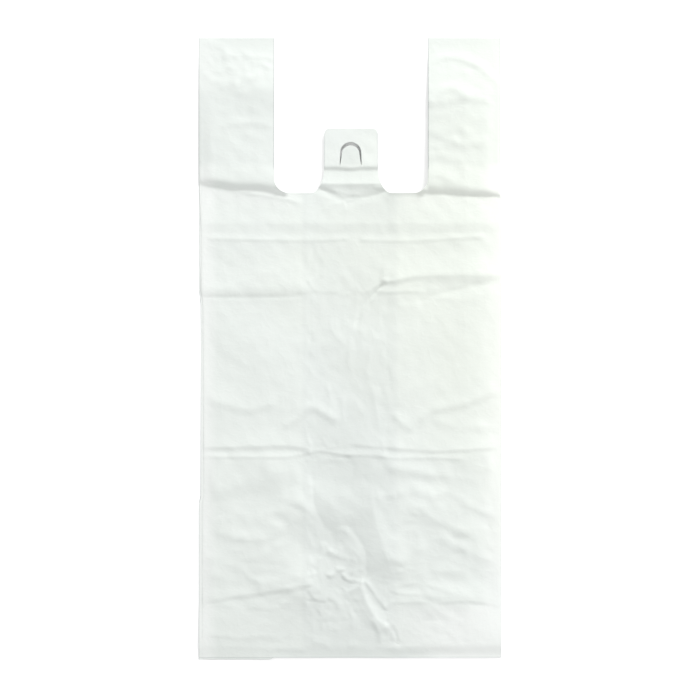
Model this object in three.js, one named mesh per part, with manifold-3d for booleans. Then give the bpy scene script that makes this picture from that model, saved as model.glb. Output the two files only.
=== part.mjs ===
// A vest-type plastic carrier bag, empty, lying on its back.
// One tube of thin film, with a gusset folded in at each side, welded across at the bottom and the top,
// then cut in one stroke to two handles, a mouth and a hanging tab with an arch-shaped knife slit.
// Millimetres. X runs across the bag, +Y runs to the handles, +Z is up from the surface it lies on.
import * as THREE from 'three';
import Module from 'manifold-3d';

const wasm = await Module();
wasm.setup();

// The film tube, as it leaves the blown reel
const FLAT_WIDTH = 300; // across the folded bag
const LENGTH = 616; // from the bottom edge to the tops of the handles
const GUSSET_DEPTH = 110; // how far each side is folded in
const FILM = 0.02; // thickness of the film
const LAYER_PITCH = 0.6; // from one layer to the next where the bag lies loose
const FOLD_RUN = 1.5; // width over which a fold opens to the layers' pitch
const CENTRE_DIP = 0.9; // how far the front sinks between the two gussets
const DIP_RUN = 3; // half the width of the step at the inner edge of a gusset

// The welds
const WELD_WIDTH = 3;
const WELD_AIR = 0.01; // between pressed layers beside a weld
const BOTTOM_SKIRT = 14; // film left below the bottom weld
const TOP_SKIRT = 5; // film left above the welds of the handles
const SKIRT_PITCH = 0.25; // the layers' pitch at a cut edge outside a weld
const WELD_SPREAD = 34; // run over which the layers part beyond a weld

// The vest cut
const HANDLE_WIDTH = 74;
const HANDLE_LENGTH = 154; // from the mouth to the tops of the handles
const MOUTH_CORNER = 15; // radius where a handle meets the mouth
const TAB_WIDTH = 53;
const TAB_HEIGHT = 64; // above the mouth
const TAB_CORNER = 5;
const TAB_FLARE_WIDTH = 14; // the tab widens into the mouth on a quarter of an ellipse
const TAB_FLARE_HEIGHT = 26;

// The knife slit in the tab
const SLIT_TOP_MARGIN = 15; // from the tab's top edge to the crown of the arch
const SLIT_HEIGHT = 22;
const SLIT_ARCH_WIDTH = 19;
const SLIT_FOOT_WIDTH = 25;
const SLIT_OPENING = 1.5; // gap left at the crown, where the tongue has sagged
const SLIT_FOOT_OPENING = 0.5;

// How finely the film is divided
const COLUMN_STEP = 13;
const ROW_STEP = 28;
const PROBES = [-1, -0.5, 0, 0.5, 1]; // shares of half the width at which the gap between rows is read
const SLOPE_ROOM = 0.9; // share of the way between two crests that their slopes may take
const BACK_STEP = 75;
const LEAF_CELLS = 3;
const CUT_OVERRUN = 5; // how far a cutter reaches past the film

// Marks that folding the bag for its pack has left on the front. A crest is a list of points
// [across, along, lift]: across runs from -1 to 1 over the flat width, along runs from 0 at the bottom weld
// to 1 at the mouth, and lift is the share of the rise that the crest has there. The film climbs to the
// crest over `above` millimetres on the side of the mouth and falls over `below` on the side of the weld.
const PACK_FOLDS = [
  {
    name: 'upper double fold',
    rise: 2.6, above: 20, below: 9,
    crest: [[-1, 0.930, 1], [-0.3, 0.929, 0.8], [0.3, 0.928, 0.8], [1, 0.926, 1]],
  },
  {
    name: 'lower edge of the upper double fold',
    rise: 1.6, above: 5, below: 2.5,
    crest: [[-1, 0.897, 1], [0, 0.896, 0.7], [1, 0.896, 1]],
  },
  {
    name: 'shoulder fold, a lens on the right',
    rise: 3, above: 14, below: 11,
    crest: [[-1, 0.795, 1], [-0.1, 0.788, 0.9], [0.13, 0.784, 0.5], [0.24, 0.803, 0.9], [0.47, 0.815, 1],
      [1, 0.815, 0.5]],
  },
  {
    name: 'lower edge of the shoulder fold',
    rise: 1.8, above: 5, below: 12,
    crest: [[-1, 0.757, 1], [-0.1, 0.757, 0.6], [0.15, 0.752, 0.3], [0.48, 0.745, 1], [0.73, 0.762, 0.8],
      [1, 0.772, 0.3]],
  },
  {
    name: 'waist fold',
    rise: 2.4, above: 16, below: 13,
    crest: [[-1, 0.535, 1], [-0.83, 0.512, 0.9], [-0.46, 0.510, 0.6], [-0.26, 0.522, 1], [0, 0.510, 0.4],
      [0.25, 0.502, 0.7], [0.43, 0.480, 0.8], [0.6, 0.517, 0.8], [1, 0.550, 0.6]],
  },
  {
    name: 'middle fold',
    rise: 3, above: 12, below: 5,
    crest: [[-1, 0.431, 1], [0, 0.430, 0.8], [1, 0.431, 1]],
  },
  {
    name: 'lower edge of the middle fold',
    rise: 1.8, above: 4, below: 4,
    crest: [[-1, 0.409, 0.8], [0, 0.408, 0.8], [0.25, 0.402, 0.9], [1, 0.396, 1]],
  },
  {
    name: 'slack fold below the middle',
    rise: 1.8, above: 13, below: 12,
    crest: [[-1, 0.330, 0.5], [-0.52, 0.321, 1], [-0.2, 0.330, 1], [0.2, 0.345, 0.7], [0.55, 0.345, 1],
      [1, 0.340, 0.6]],
  },
  {
    name: 'lower side fold',
    rise: 2, above: 18, below: 12,
    crest: [[-1, 0.252, 0.5], [-0.72, 0.228, 1], [-0.4, 0.233, 0.8], [0, 0.235, 0.5], [0.55, 0.250, 0.8],
      [0.85, 0.240, 1], [1, 0.240, 0.6]],
  },
  {
    name: 'bottom fold',
    rise: 2.8, above: 20, below: 11,
    crest: [[-1, 0.094, 0.7], [-0.5, 0.114, 1], [-0.26, 0.127, 1], [0, 0.140, 0.9], [0.25, 0.110, 0.8],
      [0.4, 0.094, 0.9], [0.7, 0.092, 1], [1, 0.080, 0.8]],
  },
];

// The fold beside the mouth crosses both handles and the foot of the tab, and a second one crosses the tab
// under its slit. Their crests are points [across, millimetres above the mouth, lift].
const MOUTH_FOLD = {
  name: 'mouth fold',
  rise: 3.2, above: 6, below: 6,
  crest: [[-1, 11, 1], [-0.5, 7, 1], [-0.2, 11, 0.9], [0.2, 11, 0.9], [0.42, 7, 1], [1, 4, 1]],
};
const TAB_FOLD = {
  name: 'tab fold',
  rise: 2.4, above: 10, below: 5,
  crest: [[-1, 32, 0], [-0.22, 28, 0.2], [-0.18, 28, 1], [0.18, 28, 1], [0.22, 28, 0.2], [1, 32, 0]],
};

// Slack between the folds lifts the film a little, and small wrinkles run across the folds.
const SLACK_LIFT = 0.7;
const WRINKLE_RISE = 1.6;
const WRINKLE_REACH = 16; // half the width of a wrinkle
// Each wrinkle is [across, along] to [across, along], measured as the crests are
const WRINKLES = [
  { name: 'left of the centre, down to the weld', from: [-0.27, 0.32], to: [0, 0.13] },
  { name: 'centre, down to the weld', from: [0, 0.14], to: [0.25, 0.06] },
  { name: 'right of the centre', from: [0.17, 0.25], to: [0.28, 0.12] },
  { name: 'fan on the right', from: [0.45, 0.37], to: [0.85, 0.25] },
  { name: 'from the shoulder fold to the waist', from: [0.2, 0.8], to: [0.05, 0.68] },
];

const HALF_WIDTH = FLAT_WIDTH / 2;
const INNER_FOLD = HALF_WIDTH - GUSSET_DEPTH;
const BOTTOM = -LENGTH / 2;
const TOP = LENGTH / 2;
const MOUTH = TOP - HANDLE_LENGTH;
const BOTTOM_WELD = BOTTOM + BOTTOM_SKIRT; // lower edge of the weld
const BOTTOM_WELD_END = BOTTOM_WELD + WELD_WIDTH;
const TOP_WELD_END = TOP - TOP_SKIRT; // upper edge of the weld
const TOP_WELD = TOP_WELD_END - WELD_WIDTH;
const PRESSED_PITCH = FILM + WELD_AIR;
const LAYERS = 4;

// Linear interpolation through points whose first number rises
function through(points, x, index) {
  const next = points.findIndex((point) => point[0] >= x);
  if (next === -1) return points[points.length - 1][index];
  if (next === 0) return points[0][index];
  const before = points[next - 1];
  const after = points[next];
  const share = (x - before[0]) / (after[0] - before[0]);
  return THREE.MathUtils.lerp(before[index], after[index], share);
}

// Evenly spaced numbers from start to end, both included
function spaced(start, end, cells) {
  return Array.from({ length: cells + 1 }, (_, index) => THREE.MathUtils.lerp(start, end, index / cells));
}

// The pitch from layer to layer at a place along the bag: pressed at the welds, loose between them
const PITCH_ALONG = [
  [BOTTOM, SKIRT_PITCH],
  [BOTTOM_WELD, PRESSED_PITCH],
  [BOTTOM_WELD_END, PRESSED_PITCH],
  [BOTTOM_WELD_END + WELD_SPREAD, LAYER_PITCH],
  [TOP_WELD - WELD_SPREAD, LAYER_PITCH],
  [TOP_WELD, PRESSED_PITCH],
  [TOP_WELD_END, PRESSED_PITCH],
  [TOP, SKIRT_PITCH],
];
const pitchAt = (y) => through(PITCH_ALONG, y, 1);

// A row runs across the bag: its place along the bag and the front's lift, each as a function of x
const straightRow = (y) => ({ along: () => y, lift: () => 0 });

function crestRow(fold, placeAlong) {
  return {
    along: (x) => placeAlong(through(fold.crest, x / HALF_WIDTH, 1)),
    lift: (x) => fold.rise * through(fold.crest, x / HALF_WIDTH, 2),
    above: fold.above,
    below: fold.below,
  };
}

const inBody = (share) => THREE.MathUtils.lerp(BOTTOM_WELD_END, MOUTH, share);
const aboveMouth = (distance) => MOUTH + distance;

// The feet of two neighbouring crests. Where the crests run close, both slopes shorten by the same share.
function footRows(lower, upper) {
  const { above = 0 } = lower;
  const { below = 0 } = upper;
  const room = (x) => SLOPE_ROOM * (upper.along(x) - lower.along(x));
  const share = (x) => Math.min(1, room(x) / (above + below));
  const lowerFoot = { along: (x) => lower.along(x) + above * share(x), lift: () => 0 };
  const upperFoot = { along: (x) => upper.along(x) - below * share(x), lift: () => 0 };
  if (above === 0) return [upperFoot];
  if (below === 0) return [lowerFoot];
  const middle = { along: (x) => (lowerFoot.along(x) + upperFoot.along(x)) / 2, lift: () => 0 };
  return widestGap(lowerFoot, upperFoot) < ROW_STEP / 5 ? [middle] : [lowerFoot, upperFoot];
}

const gapsBetween = (lower, upper) => PROBES.map((share) => {
  const x = share * HALF_WIDTH;
  return upper.along(x) - lower.along(x);
});
const widestGap = (lower, upper) => Math.max(...gapsBetween(lower, upper));

// Slack rows where two rows lie far apart
function slackRows(lower, upper) {
  const cells = Math.max(1, Math.round(widestGap(lower, upper) / ROW_STEP));
  return spaced(0, 1, cells).slice(1, -1).map((share) => ({
    along: (x) => THREE.MathUtils.lerp(lower.along(x), upper.along(x), share),
    lift: () => SLACK_LIFT,
  }));
}

// Each row, followed by what `between` puts in before the next one
function filled(rows, between) {
  return rows.flatMap((row, index) => (rows[index + 1] ? [row, ...between(row, rows[index + 1])] : [row]));
}

// All rows of the film, from the bottom edge to the top
function filmRows() {
  const crests = [
    straightRow(BOTTOM_WELD_END),
    ...PACK_FOLDS.slice().reverse().map((fold) => crestRow(fold, inBody)),
    crestRow(MOUTH_FOLD, aboveMouth),
    crestRow(TAB_FOLD, aboveMouth),
    straightRow(TOP_WELD),
  ];
  const folded = filled(filled(crests, footRows), slackRows);
  return [straightRow(BOTTOM), straightRow(BOTTOM_WELD), ...folded, straightRow(TOP_WELD_END), straightRow(TOP)];
}

// Height that the wrinkles add to the front at a place
function wrinkleLift(x, y) {
  const place = new THREE.Vector3(x, y, 0);
  const nearest = new THREE.Vector3();
  let lift = 0;
  for (const wrinkle of WRINKLES) {
    const [start, end] = [wrinkle.from, wrinkle.to].map(
      ([across, along]) => new THREE.Vector3(across * HALF_WIDTH, inBody(along), 0));
    new THREE.Line3(start, end).closestPointToPoint(place, true, nearest);
    const fade = 1 - nearest.distanceTo(place) / WRINKLE_REACH;
    lift = Math.max(lift, WRINKLE_RISE * fade);
  }
  return lift;
}

// Columns of the front: even steps, with the edges of the step beside each gusset set in between
function frontColumns() {
  const edge = HALF_WIDTH - FOLD_RUN;
  const steps = [-1, 1].flatMap((side) => [side * INNER_FOLD - DIP_RUN, side * INNER_FOLD + DIP_RUN]);
  const even = spaced(-edge, edge, Math.ceil((2 * edge) / COLUMN_STEP));
  const clear = even.filter((x) => steps.every((step) => Math.abs(x - step) > DIP_RUN));
  return [...clear, ...steps].sort((a, b) => a - b);
}

// The film's section, as one ring of stations. The ring runs along the back from left to right, round the
// right gusset, along the front from right to left and round the left gusset. A station has its place
// across, the layer that it lies on, counted from the back, and the direction of the film's outer side.
function sectionRing() {
  const edge = HALF_WIDTH - FOLD_RUN;
  const up = [0, 1];
  const down = [0, -1];
  const flat = (columns, layer, out) => columns.map((x) => ({ x, layer, out }));
  const tip = (x, layer, side) => ({ x: x - side * FILM / 2, layer, out: [side, 0] });
  const leaf = spaced(edge, INNER_FOLD + FOLD_RUN, LEAF_CELLS);
  const outward = leaf.slice().reverse();
  const mirrored = (columns) => columns.map((x) => -x);
  const back = spaced(-edge, edge, Math.ceil((2 * edge) / BACK_STEP));
  return [
    ...flat(back, 0, down),
    tip(HALF_WIDTH, 0.5, 1),
    ...flat(leaf, 1, up),
    tip(INNER_FOLD, 1.5, 1),
    ...flat(outward, 2, down),
    tip(HALF_WIDTH, 2.5, 1),
    ...flat(frontColumns().reverse(), 3, up),
    tip(-HALF_WIDTH, 2.5, -1),
    ...flat(mirrored(leaf), 2, down),
    tip(-INNER_FOLD, 1.5, -1),
    ...flat(mirrored(outward), 1, up),
    tip(-HALF_WIDTH, 0.5, -1),
  ];
}

// Height of the middle of the film at a station of a row
function filmHeight(station, row, y) {
  const pitch = pitchAt(y);
  const height = FILM / 2 + station.layer * pitch;
  if (station.layer !== LAYERS - 1) return height;
  const looseness = (pitch - PRESSED_PITCH) / (LAYER_PITCH - PRESSED_PITCH);
  const sink = 1 - THREE.MathUtils.smoothstep(Math.abs(station.x), INNER_FOLD - DIP_RUN, INNER_FOLD + DIP_RUN);
  const lift = Math.max(row.lift(station.x), looseness > 0 ? wrinkleLift(station.x, y) * looseness : 0);
  return height - CENTRE_DIP * sink * looseness + lift;
}

// The folded tube: an outer and an inner surface with the film's thickness between them
function filmTube() {
  const rows = filmRows();
  const ring = sectionRing();
  const positions = [];
  for (const side of [1, -1]) {
    for (const row of rows) {
      for (const station of ring) {
        const y = row.along(station.x);
        const [outX, outZ] = station.out;
        positions.push(
          station.x + side * outX * FILM / 2,
          y,
          filmHeight(station, row, y) + side * outZ * FILM / 2,
        );
      }
    }
  }
  const inner = rows.length * ring.length;
  const vertex = (surface, row, column) => surface + row * ring.length + (column % ring.length);
  const triangles = [];
  for (let row = 0; row < rows.length - 1; row += 1) {
    for (let column = 0; column < ring.length; column += 1) {
      for (const surface of [0, inner]) {
        const a = vertex(surface, row, column);
        const b = vertex(surface, row, column + 1);
        const c = vertex(surface, row + 1, column + 1);
        const d = vertex(surface, row + 1, column);
        if (surface === 0) triangles.push(a, c, b, a, d, c);
        else triangles.push(a, b, c, a, c, d);
      }
    }
  }
  for (let column = 0; column < ring.length; column += 1) {
    const last = rows.length - 1;
    const [a, b] = [vertex(0, 0, column), vertex(0, 0, column + 1)];
    triangles.push(a, b, b + inner, a, b + inner, a + inner);
    const [c, d] = [vertex(0, last, column), vertex(0, last, column + 1)];
    triangles.push(c, d + inner, d, c, c + inner, d + inner);
  }
  return solid(positions, triangles);
}

function solid(positions, triangles) {
  return new wasm.Manifold(new wasm.Mesh({
    numProp: 3,
    vertProperties: new Float32Array(positions),
    triVerts: new Uint32Array(triangles),
  }));
}

// A closed three.js geometry as a solid, with its shared vertices merged
function solidFrom(geometry) {
  const { positions, triangles } = weldedVertices(geometry);
  return solid(positions, triangles);
}

function weldedVertices(geometry) {
  const source = geometry.index ? geometry.toNonIndexed() : geometry;
  const places = source.getAttribute('position');
  const known = new Map();
  const positions = [];
  const triangles = [];
  for (let index = 0; index < places.count; index += 1) {
    const point = [places.getX(index), places.getY(index), places.getZ(index)];
    const key = point.map((value) => Math.round(value * 1e4)).join(' ');
    if (!known.has(key)) {
      known.set(key, positions.length / 3);
      positions.push(...point);
    }
    triangles.push(known.get(key));
  }
  return { positions, triangles };
}

// A weld: the pressed layers fused over a band that follows the outline of the folded section
function weldBand(start) {
  const outline = new THREE.Shape();
  const edge = HALF_WIDTH - FOLD_RUN;
  const side = HALF_WIDTH - FILM / 2;
  const level = (layer) => FILM / 2 + layer * PRESSED_PITCH;
  outline.moveTo(-edge, level(0));
  outline.lineTo(edge, level(0));
  outline.lineTo(side, level(0.5));
  outline.lineTo(side, level(2.5));
  outline.lineTo(edge, level(3));
  outline.lineTo(-edge, level(3));
  outline.lineTo(-side, level(2.5));
  outline.lineTo(-side, level(0.5));
  outline.closePath();
  const band = new THREE.ExtrudeGeometry(outline, { depth: WELD_WIDTH, bevelEnabled: false });
  band.rotateX(Math.PI / 2);
  band.translate(0, start + WELD_WIDTH, 0);
  return solidFrom(band);
}

// A cutter that goes through all layers of the bag
function cutter(outline) {
  const reach = CUT_OVERRUN + LAYERS * LAYER_PITCH + MOUTH_FOLD.rise;
  const prism = new THREE.ExtrudeGeometry(outline, {
    depth: CUT_OVERRUN + reach, bevelEnabled: false, curveSegments: 6,
  });
  prism.translate(0, 0, -CUT_OVERRUN);
  return solidFrom(prism);
}

// What the vest cut takes away: all between the handles above the mouth, but for the tab
function vestCut() {
  const handle = HALF_WIDTH - HANDLE_WIDTH;
  const top = TOP + CUT_OVERRUN;
  const tabSide = TAB_WIDTH / 2;
  const tabTop = MOUTH + TAB_HEIGHT;
  const flare = MOUTH + TAB_FLARE_HEIGHT;
  const outline = new THREE.Shape();
  outline.moveTo(-handle, top);
  outline.lineTo(-handle, MOUTH + MOUTH_CORNER);
  outline.absarc(-handle + MOUTH_CORNER, MOUTH + MOUTH_CORNER, MOUTH_CORNER, Math.PI, Math.PI * 1.5);
  outline.lineTo(-tabSide - TAB_FLARE_WIDTH, MOUTH);
  outline.absellipse(
    -tabSide - TAB_FLARE_WIDTH, flare, TAB_FLARE_WIDTH, TAB_FLARE_HEIGHT, -Math.PI / 2, 0);
  outline.lineTo(-tabSide, tabTop - TAB_CORNER);
  outline.absarc(-tabSide + TAB_CORNER, tabTop - TAB_CORNER, TAB_CORNER, Math.PI, Math.PI / 2, true);
  outline.lineTo(tabSide - TAB_CORNER, tabTop);
  outline.absarc(tabSide - TAB_CORNER, tabTop - TAB_CORNER, TAB_CORNER, Math.PI / 2, 0, true);
  outline.lineTo(tabSide, flare);
  outline.absellipse(
    tabSide + TAB_FLARE_WIDTH, flare, TAB_FLARE_WIDTH, TAB_FLARE_HEIGHT, Math.PI, Math.PI * 1.5);
  outline.lineTo(handle - MOUTH_CORNER, MOUTH);
  outline.absarc(handle - MOUTH_CORNER, MOUTH + MOUTH_CORNER, MOUTH_CORNER, -Math.PI / 2, 0);
  outline.lineTo(handle, top);
  outline.closePath();
  return cutter(outline);
}

// The arch of the knife slit: round over the crown, with legs that spread to the feet
function slitCut() {
  const crown = MOUTH + TAB_HEIGHT - SLIT_TOP_MARGIN;
  const radius = SLIT_ARCH_WIDTH / 2;
  const spring = crown - radius;
  const foot = crown - SLIT_HEIGHT;
  const footSide = SLIT_FOOT_WIDTH / 2;
  const innerRadius = radius - (SLIT_OPENING + SLIT_FOOT_OPENING) / 2;
  const innerSpring = crown - SLIT_OPENING - innerRadius;
  const outline = new THREE.Shape();
  outline.moveTo(-footSide, foot);
  outline.lineTo(-footSide + SLIT_FOOT_OPENING, foot);
  outline.absarc(0, innerSpring, innerRadius, Math.PI, 0, true);
  outline.lineTo(footSide - SLIT_FOOT_OPENING, foot);
  outline.lineTo(footSide, foot);
  outline.absarc(0, spring, radius, 0, Math.PI);
  outline.closePath();
  return cutter(outline);
}

function geometryFrom(shape) {
  const mesh = shape.getMesh();
  const geometry = new THREE.BufferGeometry();
  geometry.setAttribute('position', new THREE.BufferAttribute(mesh.vertProperties, mesh.numProp));
  geometry.setIndex(new THREE.BufferAttribute(mesh.triVerts, 1));
  geometry.computeVertexNormals();
  return geometry;
}

function bag() {
  const welded = filmTube().add(weldBand(BOTTOM_WELD)).add(weldBand(TOP_WELD));
  const cut = welded.subtract(vestCut()).subtract(slitCut());
  const film = new THREE.MeshStandardMaterial({ color: 0xedf2ec, roughness: 0.45, metalness: 0 });
  const mesh = new THREE.Mesh(geometryFrom(cut), film);
  mesh.name = 'bag';
  return mesh;
}

const group = new THREE.Group();
group.add(bag());

export default group;
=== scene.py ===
"""A vest-type carrier bag of thin white film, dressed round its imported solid.

The bag is one tube of film with a gusset folded in at each side. It is welded at the bottom and at the
handle tops and cut to a vest outline, and it lies on its back. Sizes of the bag are in millimetres in
its own plan: across from the middle, and along from the bottom edge towards the handles.
"""

from __future__ import annotations

import logging
import math
from dataclasses import dataclass
from enum import Enum

import bmesh
import bpy
import numpy as np
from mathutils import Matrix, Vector

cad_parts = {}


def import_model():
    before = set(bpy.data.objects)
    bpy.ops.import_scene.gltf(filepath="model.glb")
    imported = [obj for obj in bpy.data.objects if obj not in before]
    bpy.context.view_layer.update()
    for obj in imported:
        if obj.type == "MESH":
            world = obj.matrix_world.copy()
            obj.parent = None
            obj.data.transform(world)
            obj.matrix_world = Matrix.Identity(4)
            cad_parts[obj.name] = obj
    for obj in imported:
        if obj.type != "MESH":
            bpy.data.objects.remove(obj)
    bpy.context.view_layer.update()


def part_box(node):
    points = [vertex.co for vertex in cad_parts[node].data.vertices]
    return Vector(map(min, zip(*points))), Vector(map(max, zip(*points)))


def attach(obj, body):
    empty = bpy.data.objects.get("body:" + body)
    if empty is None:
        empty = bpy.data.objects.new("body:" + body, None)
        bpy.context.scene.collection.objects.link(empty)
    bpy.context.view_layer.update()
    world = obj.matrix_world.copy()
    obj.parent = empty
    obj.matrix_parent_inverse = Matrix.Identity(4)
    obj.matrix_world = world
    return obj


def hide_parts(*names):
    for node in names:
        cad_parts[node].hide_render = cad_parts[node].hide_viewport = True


LOG = logging.getLogger("bag")
MM = 0.001
NODE = "bag"
BODY = "root"
WHITE = (1.0, 1.0, 1.0, 1.0)
SPACING_SAMPLES = 6001
SPACING_BLUR = 41
LIT_POWER = 1.5
NOISE_ROUGHNESS = 0.55

Point = tuple[float, float]
Path = tuple[Point, ...]
Width = float | Point
Zones = tuple[tuple[float, float, float], ...]
Colour = tuple[float, float, float, float]


def smooth_path(path: Path, cuts: int = 6) -> np.ndarray:
    """Rounds a path with a Catmull-Rom curve through its points.

    Args:
        path: The points that the curve goes through.
        cuts: The number of steps from one point to the next.

    Returns:
        The curve's points, one row each.
    """
    points = np.array(path, float)
    if len(points) < 3:
        return points
    ends = np.vstack([2 * points[0] - points[1], points, 2 * points[-1] - points[-2]])
    curve = []
    for before, start, end, after in zip(ends, ends[1:], ends[2:], ends[3:]):
        for t in np.linspace(0, 1, cuts, endpoint=False):
            pull = (2 * before - 5 * start + 4 * end - after) * t**2
            swing = (3 * start - before - 3 * end + after) * t**3
            curve.append((2 * start + (end - before) * t + pull + swing) / 2)
    return np.vstack([*curve, points[-1]])


def smoothstep(value: np.ndarray) -> np.ndarray:
    """Eases a share from 0 to 1, flat at both ends."""
    share = np.clip(value, 0.0, 1.0)
    return share * share * (3 - 2 * share)


def interpolated(line: Path, along: np.ndarray) -> np.ndarray:
    """The value of a broken line at each place.

    Args:
        line: The place along the bag and the value of each of its points.
        along: The places along the bag.

    Returns:
        The value at each place.
    """
    return np.interp(along, *np.array(line, float).T)


def spaced(start: float, end: float, coarse: float, zones: Zones) -> np.ndarray:
    """Places from start to end, closer together inside the zones.

    Args:
        start: The first place.
        end: The last place.
        coarse: The step outside the zones.
        zones: The lowest place, highest place and step of each zone.

    Returns:
        The places, in order.
    """
    at = np.linspace(start, end, SPACING_SAMPLES)
    step = np.full_like(at, coarse)
    for low, high, fine in zones:
        step[(at >= low) & (at <= high)] = fine
    blur = np.ones(SPACING_BLUR) / SPACING_BLUR
    step = np.convolve(np.pad(step, SPACING_BLUR // 2, mode="edge"), blur, mode="valid")
    count = np.concatenate([[0.0], np.cumsum(np.diff(at) / step[:-1])])
    cells = round(count[-1])
    return np.interp(np.linspace(0, count[-1], cells + 1), count, at)


class Form(Enum):
    """Which way the film stands at a crease."""

    RIDGE = 1.0
    GROOVE = -1.0


class Slope(Enum):
    """The section of a crease's shaded slope: the power of its run, and that of what it leaves of 1."""

    KEEN = (1.0, 1.5)
    PLAIN = (1.0, 1.0)
    DOME = (2.0, 1.1)
    CLIFF = (2.6, 1.0)


def width_at(width: Width, share: np.ndarray) -> np.ndarray:
    """A width that may change from one end of a path to the other.

    Args:
        width: One width, or those of the path's first and last point.
        share: How far along the path each place is, from 0 to 1.

    Returns:
        The width at each place.
    """
    first, last = width if isinstance(width, tuple) else (width, width)
    return first + (last - first) * share


@dataclass(frozen=True)
class Crease:
    """A line that folding has left in the film.

    Walking the path from its first point, `lit` is the width of the slope on the left hand, which faces
    the light, and `shaded` that on the right hand. The crease fades in and out over `fade` at the ends.
    """

    name: str
    path: Path
    rise: float
    lit: Width
    shaded: Width
    fade: float = 6.0
    form: Form = Form.RIDGE
    slope: Slope = Slope.KEEN

    def reach(self) -> float:
        """The furthest that the crease lifts the film to either side."""
        ends = np.array([0.0, 1.0])
        return float(max(width_at(self.lit, ends).max(), width_at(self.shaded, ends).max()))

    def lift(self, across: np.ndarray, along: np.ndarray) -> np.ndarray:
        """How far the crease lifts the film at each place.

        Args:
            across: The places across the bag.
            along: The places along the bag.

        Returns:
            The lift at each place.
        """
        curve = smooth_path(self.path)
        low, high = curve.min(axis=0) - self.reach(), curve.max(axis=0) + self.reach()
        near = (across > low[0]) & (across < high[0]) & (along > low[1]) & (along < high[1])
        lifted = np.zeros_like(across)
        if near.any():
            lifted[near] = self._lift_near(curve, across[near], along[near])
        return lifted

    def _lift_near(self, curve: np.ndarray, across: np.ndarray, along: np.ndarray) -> np.ndarray:
        """The lift at places near the crease.

        Args:
            curve: The rounded path.
            across: The places across the bag.
            along: The places along the bag.

        Returns:
            The lift at each place.
        """
        distance = np.full_like(across, np.inf)
        side = np.zeros_like(across)
        walked = np.zeros_like(across)
        start = 0.0
        for (x, y), (next_x, next_y) in zip(curve[:-1], curve[1:]):
            run_x, run_y = next_x - x, next_y - y
            length = math.hypot(run_x, run_y)
            share = np.clip(((across - x) * run_x + (along - y) * run_y) / length**2, 0, 1)
            off_x, off_y = across - x - share * run_x, along - y - share * run_y
            away = np.hypot(off_x, off_y)
            closer = away < distance
            distance = np.where(closer, away, distance)
            side = np.where(closer, np.sign(run_x * off_y - run_y * off_x), side)
            walked = np.where(closer, start + share * length, walked)
            start += length
        share = walked / start
        inner, outer = self.slope.value
        lit = np.clip(1 - distance / width_at(self.lit, share), 0, 1) ** LIT_POWER
        shaded = np.clip(1 - (distance / width_at(self.shaded, share)) ** inner, 0, 1) ** outer
        ends = smoothstep(walked / self.fade) * smoothstep((start - walked) / self.fade)
        return self.form.value * self.rise * np.where(side >= 0, lit, shaded) * ends


@dataclass(frozen=True)
class Crumple:
    """A patch of small creases, strewn at random over an ellipse.

    `heading` is their mean direction in degrees and `spread` how far they stray from it. The pairs are
    the lowest and highest share of the longest length, of the mean slope width and of the rise.
    """

    name: str
    middle: Point
    reach: Point
    count: int
    longest: float
    rise: float
    heading: float
    spread: float
    seed: int
    width: float = 5.0
    lengths: Point = (0.35, 1.0)
    widths: Point = (0.5, 1.6)
    rises: Point = (0.4, 1.0)
    bow: float = 0.25
    ridges: float = 0.65
    fade: float = 0.8

    def creases(self) -> list[Crease]:
        """The patch's creases, the same at each run."""
        chance = np.random.default_rng(self.seed)
        made = []
        for index in range(self.count):
            turn, out = chance.uniform(0, 2 * math.pi), math.sqrt(chance.uniform(0, 1))
            middle = np.array(self.middle) + np.array([math.cos(turn), math.sin(turn)]) * out * self.reach
            heading = math.radians(chance.normal(self.heading, self.spread))
            half = chance.uniform(*self.lengths) * self.longest / 2
            run = np.array([math.cos(heading), math.sin(heading)]) * half
            bow = np.array([-run[1], run[0]]) * chance.uniform(-self.bow, self.bow)
            path = (tuple(middle - run), tuple(middle + bow), tuple(middle + run))
            form = Form.RIDGE if chance.uniform() < self.ridges else Form.GROOVE
            left, right = self.width * chance.uniform(*self.widths, 2)
            rise = self.rise * chance.uniform(*self.rises)
            made.append(Crease(f"{self.name}_{index}", path, rise, left, right, half * self.fade, form))
        return made


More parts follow.
